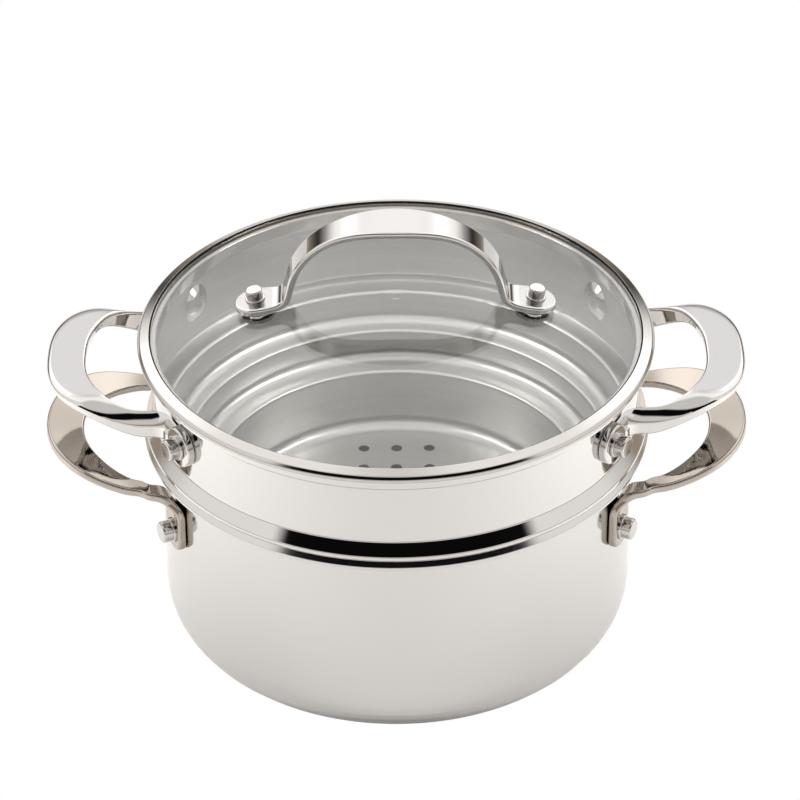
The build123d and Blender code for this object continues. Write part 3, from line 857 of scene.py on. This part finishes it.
def make_world():
    """A pale room with brighter sides and back, a tan horizon, and dark gaps between its lights."""
    world = bpy.data.worlds.new("studio")
    bpy.context.scene.world = world
    world.use_nodes = True
    nodes = Nodes(world.node_tree)
    direction = nodes.add("ShaderNodeTexCoord").outputs["Generated"]
    split = nodes.add("ShaderNodeSeparateXYZ", {0: direction})
    x, y, z = split.outputs[0], split.outputs[1], split.outputs[2]
    turn = nodes.math("ARCTAN2", x, nodes.math("MULTIPLY", y, -1.0))
    azimuth = nodes.math("DEGREES", turn)
    aside = nodes.math("ABSOLUTE", azimuth)
    height = nodes.math("DEGREES", nodes.math("ARCSINE", z))
    back = nodes.math("MULTIPLY", stretch_of_room(nodes, aside, height, BACK_LIGHT), BACK_GAIN)
    side = nodes.math("MULTIPLY", stretch_of_room(nodes, aside, height, SIDE_LIGHT), SIDE_GAIN)
    box = nodes.math("MULTIPLY", stretch_of_room(nodes, aside, height, SOFT_BOX), SOFT_BOX_GAIN)
    glow = nodes.math("ADD", nodes.math("ADD", nodes.math("ADD", back, side), box), 1.0)
    low = nodes.math("ABSOLUTE", nodes.math("SUBTRACT", height, HORIZON))
    ring = nodes.range(low, HORIZON_HALF - SOFT_EDGE, HORIZON_HALF + SOFT_EDGE, 1.0, 0.0)
    room = nodes.mix(ring, SKY, TAN)
    room = nodes.mix(stretch_of_room(nodes, azimuth, height, FRONT_GAP), room, DARK)
    room = nodes.mix(stretch_of_room(nodes, aside, height, BACK_CORNERS, BACK_CORNERS_EDGE), room, DIM)
    light_path = nodes.add("ShaderNodeLightPath")
    lit = nodes.add("ShaderNodeBackground", {"Color": room, "Strength": glow})
    white = nodes.add("ShaderNodeBackground", {"Color": WHITE, "Strength": 1.0})
    both = nodes.add("ShaderNodeMixShader", {
        0: seen_straight(nodes, light_path), 1: lit.outputs[0], 2: white.outputs[0]})
    nodes.add("ShaderNodeOutputWorld", {"Surface": both.outputs[0]})


def make_floor():
    mesh = bpy.data.meshes.new("floor")
    half = FLOOR_SIZE / 2
    mesh.from_pydata([(-half, -half, 0), (half, -half, 0), (half, half, 0), (-half, half, 0)], [], [(0, 1, 2, 3)])
    floor = bpy.data.objects.new("floor", mesh)
    bpy.context.scene.collection.objects.link(floor)
    mat, nodes = material("floor_white")
    light_path = nodes.add("ShaderNodeLightPath")
    paper = nodes.add("ShaderNodeBsdfDiffuse", {"Color": FLOOR_COLOR})
    white = nodes.add("ShaderNodeEmission", {"Color": WHITE, "Strength": 1.0})
    shine = nodes.math("MULTIPLY", light_path.outputs["Is Glossy Ray"], FLOOR_SHINE)
    share = nodes.math("MAXIMUM", seen_straight(nodes, light_path), shine)
    both = nodes.add("ShaderNodeMixShader", {0: share, 1: paper.outputs[0], 2: white.outputs[0]})
    nodes.add("ShaderNodeOutputMaterial", {"Surface": both.outputs[0]})
    mesh.materials.append(mat)
    floor.location.z = -FLOOR_CLEARANCE


def make_lamp(name, place, target):
    """A lamp that lights the floor and doesn't show in the steel."""
    data = bpy.data.lights.new(name, "AREA")
    data.shape = "RECTANGLE"
    data.size, data.size_y = LAMP_SIZE
    data.energy = LAMP_POWER
    lamp = bpy.data.objects.new(name, data)
    lamp.location = place
    lamp.visible_glossy = False
    lamp.rotation_euler = (target - place).to_track_quat("-Z", "Y").to_euler()
    bpy.context.scene.collection.objects.link(lamp)


def dress_all():
    """Makes the materials and the finer pieces, and gives every CAD node its material."""
    mirror = polished_steel("polished_steel", STEEL, MIRROR_ROUGHNESS)
    pot_outside = polished_steel("pot_steel", STEEL, SHEET_ROUGHNESS)
    pot_inside = turned_steel("pot_satin", WARM_STEEL, POT_SATIN)
    insert_inside = turned_steel("insert_satin", SATIN_STEEL, INSERT_SATIN)
    rivet = polished_steel("rivet_steel", WARM_STEEL, SHEET_ROUGHNESS)
    rim = polished_steel("lid_rim_steel", RIM_STEEL, RIM_ROUGHNESS)
    # The handles' level tops get darker colours: painted shade
    insert_handle = handle_steel("side_handle_steel", STEEL, GRIP_SHADED_TOP_STEEL, GRIP_SATIN)
    lid_handle = handle_steel("lid_handle_steel", STEEL, LID_HANDLE_SHADED_TOP_STEEL, LID_HANDLE_SATIN)
    # The pot handles' browner colour is a painted reflection
    pot_handle = handle_steel("pot_handle_steel", POT_HANDLE_REFLECTED_BROWN, POT_GRIP_SHADED_TOP_STEEL, POT_GRIP_SATIN)
    washer = rubber("washer_rubber", RUBBER_TONES, RUBBER_SHINE)
    # Near-black band on the lid rim's inner edge: painted shade
    painted_shade = rubber("rim_painted_shade", RIM_PAINTED_SHADE_TONES, RIM_PAINTED_SHADE_SHINE)
    glass = clear_glass("lid_glass")
    make_pot(pot_outside, pot_inside)
    make_insert(mirror, insert_inside)
    make_lid_rim(rim, painted_shade)
    make_lid_handle(lid_handle)
    make_insert_handles(insert_handle)
    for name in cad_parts:
        if name == "lid_glass":
            dress(name, glass)
        elif "washer" in name:
            dress(name, washer)
        elif name == "lid_handle":
            dress(name, lid_handle)
        elif "insert_handle" in name:
            dress(name, insert_handle)
        elif "pot_handle" in name:
            dress(name, pot_handle)
        elif "rivet" in name or "backing" in name:
            dress(name, rivet)
        else:
            dress(name, mirror)


bpy.context.scene.view_settings.view_transform = "Standard"
make_camera()
make_world()
make_floor()
for side in (-1, 1):
    flip = Vector((side, 1, 1))
    make_lamp(f"side_{side}", Vector(LAMP_PLACE) * flip, Vector(LAMP_TARGET) * flip)
dress_all()
